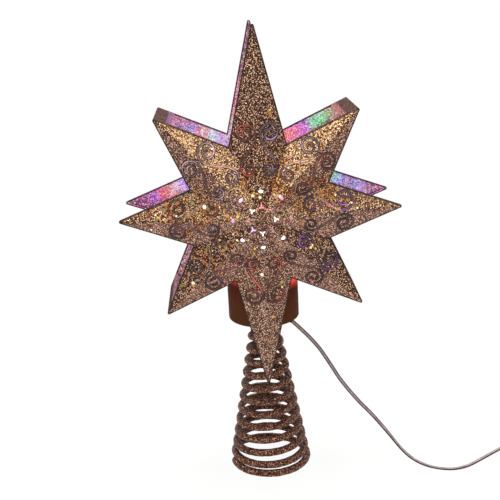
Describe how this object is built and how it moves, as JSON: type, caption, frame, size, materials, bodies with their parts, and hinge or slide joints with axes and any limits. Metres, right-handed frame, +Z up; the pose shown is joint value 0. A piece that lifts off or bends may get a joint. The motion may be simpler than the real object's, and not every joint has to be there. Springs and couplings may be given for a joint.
{
  "type": "christmas tree topper star",
  "caption": "Lit christmas tree topper: two faceted glitter star shells joined at their slanting tips, a turning light dome between them, a conical spring foot and a plug-in lead.",
  "frame": {"origin": "on the surface the spring foot stands on, on the spring's and the star's common axis", "axes": "+Z up through the star's top point, +X towards the side the lead leaves on, -Y towards the viewer, through the front shell's middle"},
  "size_m": [0.3122, 0.142, 0.2998],
  "materials": {
    "champagne_glitter": "fine champagne glitter all over the outside",
    "bronze_glitter": "dark bronze glitter coat",
    "housing_brown": "dark brown, fine glitter",
    "dark_plastic": "plain black moulding",
    "steel": "plated",
    "board_green": "green circuit board",
    "alloy": "bright",
    "yellow_metal": "machined",
    "white_gear": "natural acetal",
    "clear_dome": "clear faceted lens",
    "red_lens": "tinted lamp",
    "green_lens": "tinted lamp",
    "blue_lens": "tinted lamp",
    "clear_lead": "grey-mauve translucent flat lead",
    "contact_gold": "gold plated"
  },
  "bodies": {
    "base": {"spring": "bronze_glitter", "cord_lead": "clear_lead", "cord_coil": "clear_lead", "cord_tail": "clear_lead", "cord_tie": "dark_plastic", "plug_body": "dark_plastic", "plug_shell": "steel", "plug_tongue": "dark_plastic", "plug_contacts": "contact_gold"},
    "head": {"front_shell": "champagne_glitter", "rear_shell": "champagne_glitter", "shell_screws": "steel", "housing": "housing_brown", "housing_bezel": "dark_plastic", "bottom_cover": "housing_brown", "cover_screws": "steel", "spring_clips": "housing_brown", "clip_screws": "steel", "control_board": "board_green", "board_screws": "steel", "driver_chip": "dark_plastic", "capacitor": "alloy", "gearbox": "yellow_metal", "motor": "steel", "motor_leads": "dark_plastic", "motor_screws": "steel", "thrust_washer": "white_gear", "dome_retainer": "dark_plastic", "lamp_board": "board_green", "red_lamp": "red_lens", "green_lamp": "green_lens", "blue_lamp": "blue_lens", "lamp_cable": "dark_plastic", "cord_grommet": "dark_plastic"},
    "dome": {"dome_gear": "white_gear", "lens_dome": "clear_dome"},
    "pinion": {"motor_shaft": "steel", "drive_pinion": "yellow_metal"}
  },
  "joints": [
    {"name": "spring_compress", "type": "slide", "parent": "base", "child": "head", "axis": [0, 0, 1], "range_m": [-0.02, 0], "stiffness_N_per_m": 300, "springref_m": 0.006, "deforming": ["spring", "cord_lead"]},
    {"name": "dome_spin", "type": "hinge", "parent": "head", "child": "dome", "pos_m": [0, 0, 0.1476], "axis": [0, 0, 1], "continuous": true},
    {"name": "pinion_spin", "type": "hinge", "parent": "head", "child": "pinion", "pos_m": [0, 0.014, 0.1476], "axis": [0, 0, 1], "continuous": true}
  ],
  "couplings": [
    {"joint": "pinion_spin", "follows": "dome_spin", "ratio": -3}
  ]
}
